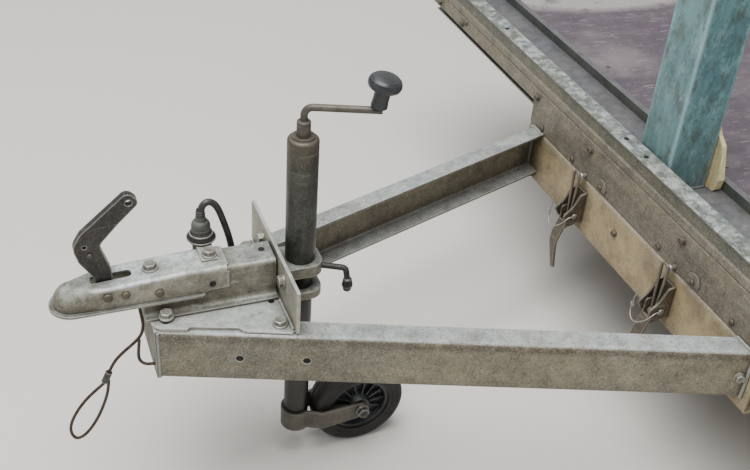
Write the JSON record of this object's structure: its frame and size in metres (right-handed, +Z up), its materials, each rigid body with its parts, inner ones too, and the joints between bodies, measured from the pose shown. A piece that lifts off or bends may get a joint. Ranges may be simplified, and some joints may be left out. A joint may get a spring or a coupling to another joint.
{
  "type": "utility trailer",
  "caption": "Tilt-bed flatbed trailer with an A-frame drawbar, pressed ball coupling, clamped jockey wheel, latched plywood bed and an upright post.",
  "frame": {"origin": "on the ground under the middle of the trailer's length and width", "axes": "+X forward to the coupling, +Y to the trailer's left, +Z up"},
  "size_m": [4.034, 2.19, 1.25],
  "materials": {
    "galvanised_leg": "dusty hot-dip galvanised steel",
    "galvanised_plate": "pale galvanised plate",
    "coupling_steel": "galvanised pressed steel",
    "sand_steel": "sand coloured dusty steel",
    "bed_steel": "dusty galvanised rim",
    "tray_steel": "dark weathered steel",
    "deck_ply": "worn film-faced plywood",
    "post_paint": "teal paint",
    "raw_wood": "raw softwood",
    "stand_steel": "dark worn steel",
    "bright_steel": "zinc plated steel",
    "dark_iron": "dark worn iron",
    "black_plastic": "black moulded plastic",
    "cord_black": "black sheathed cable",
    "rusty_cable": "rusty wire rope",
    "tyre_rubber": "road tyre rubber",
    "wheel_steel": "silver painted steel",
    "hub_steel": "grey hub",
    "lamp_red": "red lens plastic",
    "plate_white": "blank plate"
  },
  "bodies": {
    "chassis": {"drawbar_leg_left": "galvanised_leg", "drawbar_leg_right": "galvanised_leg", "drawbar_nose_plate": "galvanised_leg", "drawbar_top_plate": "galvanised_plate", "coupling_adapter": "galvanised_plate", "coupling_head": "coupling_steel", "jockey_mount_plate": "galvanised_plate", "jockey_clamp": "stand_steel", "clamp_screw": "dark_iron", "jockey_outer_tube": "stand_steel", "front_crossmember": "sand_steel", "chassis_rail_left": "galvanised_leg", "chassis_rail_right": "galvanised_leg", "chassis_cross_tube": "galvanised_leg", "tilt_pins": "bright_steel", "axle_beam": "galvanised_leg", "axle_arm_left": "stand_steel", "axle_arm_right": "stand_steel", "latch_base_left": "dark_iron", "latch_base_right": "dark_iron", "plug_holder": "galvanised_plate", "plug": "black_plastic", "plug_lead": "cord_black", "safety_cable": "rusty_cable", "anchor_cable": "rusty_cable", "cable_eye": "rusty_cable"},
    "tilt_bed": {"bed_front_rim": "bed_steel", "bed_corners": "bed_steel", "bed_side_rim_left": "bed_steel", "bed_side_rim_right": "bed_steel", "bed_tray": "tray_steel", "bed_deck": "deck_ply", "bed_rear_sill": "bed_steel", "bed_bearers": "galvanised_leg", "bed_frame_front": "bed_steel", "bed_frame_rails": "galvanised_leg", "bed_hinge_ears": "galvanised_leg", "mudguard_left": "bed_steel", "mudguard_right": "bed_steel", "number_plate": "plate_white", "rear_lamps": "lamp_red", "post": "post_paint", "post_wedge": "raw_wood"},
    "handle": {"coupling_handle": "dark_iron"},
    "stand_slider": {"jockey_inner_tube": "stand_steel"},
    "stand_caster": {"jockey_fork": "stand_steel"},
    "stand_roller": {"jockey_tyre": "tyre_rubber", "jockey_hub": "black_plastic"},
    "crank": {"crank_handle": "stand_steel", "crank_knob": "black_plastic"},
    "lever_left": {"latch_lever_left": "dark_iron"},
    "lever_right": {"latch_lever_right": "dark_iron"},
    "ring_left": {"latch_ring_left": "dark_iron"},
    "ring_right": {"latch_ring_right": "dark_iron"},
    "road_wheel_left": {"tyre_left": "tyre_rubber", "wheel_left": "wheel_steel", "hub_left": "hub_steel"},
    "road_wheel_right": {"tyre_right": "tyre_rubber", "wheel_right": "wheel_steel", "hub_right": "hub_steel"}
  },
  "joints": [
    {"name": "bed_tilt", "type": "hinge", "parent": "chassis", "child": "tilt_bed", "pos_m": [-0.788, 0, 0.338], "axis": [0, -1, 0], "range_deg": [0, 15]},
    {"name": "wheel_spin_left", "type": "hinge", "parent": "chassis", "child": "road_wheel_left", "pos_m": [-0.698, 1.0125, 0.273], "axis": [0, 1, 0], "continuous": true},
    {"name": "wheel_spin_right", "type": "hinge", "parent": "chassis", "child": "road_wheel_right", "pos_m": [-0.698, -1.0125, 0.273], "axis": [0, 1, 0], "continuous": true},
    {"name": "stand_slide", "type": "slide", "parent": "chassis", "child": "stand_slider", "axis": [0, 0, 1], "range_m": [-0.05, 0.13]},
    {"name": "stand_swivel", "type": "hinge", "parent": "stand_slider", "child": "stand_caster", "pos_m": [1.632, 0, 0.066], "axis": [0, 0, 1], "continuous": true},
    {"name": "stand_spin", "type": "hinge", "parent": "stand_caster", "child": "stand_roller", "pos_m": [1.519, 0, 0.084], "axis": [0, 1, 0], "continuous": true},
    {"name": "crank_turn", "type": "hinge", "parent": "chassis", "child": "crank", "pos_m": [1.632, 0, 0.69], "axis": [0, 0, 1], "continuous": true},
    {"name": "handle_lift", "type": "hinge", "parent": "chassis", "child": "handle", "pos_m": [1.934, 0, 0.434], "axis": [0, -1, 0], "range_deg": [0, 50]},
    {"name": "lever_left_lift", "type": "hinge", "parent": "chassis", "child": "lever_left", "pos_m": [1.036, 0.145, 0.303], "axis": [0, -1, 0], "range_deg": [0, 75]},
    {"name": "ring_left_pivot", "type": "hinge", "parent": "lever_left", "child": "ring_left", "pos_m": [1.036, 0.145, 0.288], "axis": [0, -1, 0], "range_deg": [-75, 0]},
    {"name": "lever_right_lift", "type": "hinge", "parent": "chassis", "child": "lever_right", "pos_m": [1.036, -0.153, 0.303], "axis": [0, -1, 0], "range_deg": [0, 75]},
    {"name": "ring_right_pivot", "type": "hinge", "parent": "lever_right", "child": "ring_right", "pos_m": [1.036, -0.153, 0.288], "axis": [0, -1, 0], "range_deg": [-75, 0]}
  ],
  "couplings": [
    {"joint": "ring_left_pivot", "follows": "lever_left_lift", "ratio": -1},
    {"joint": "ring_right_pivot", "follows": "lever_right_lift", "ratio": -1}
  ]
}
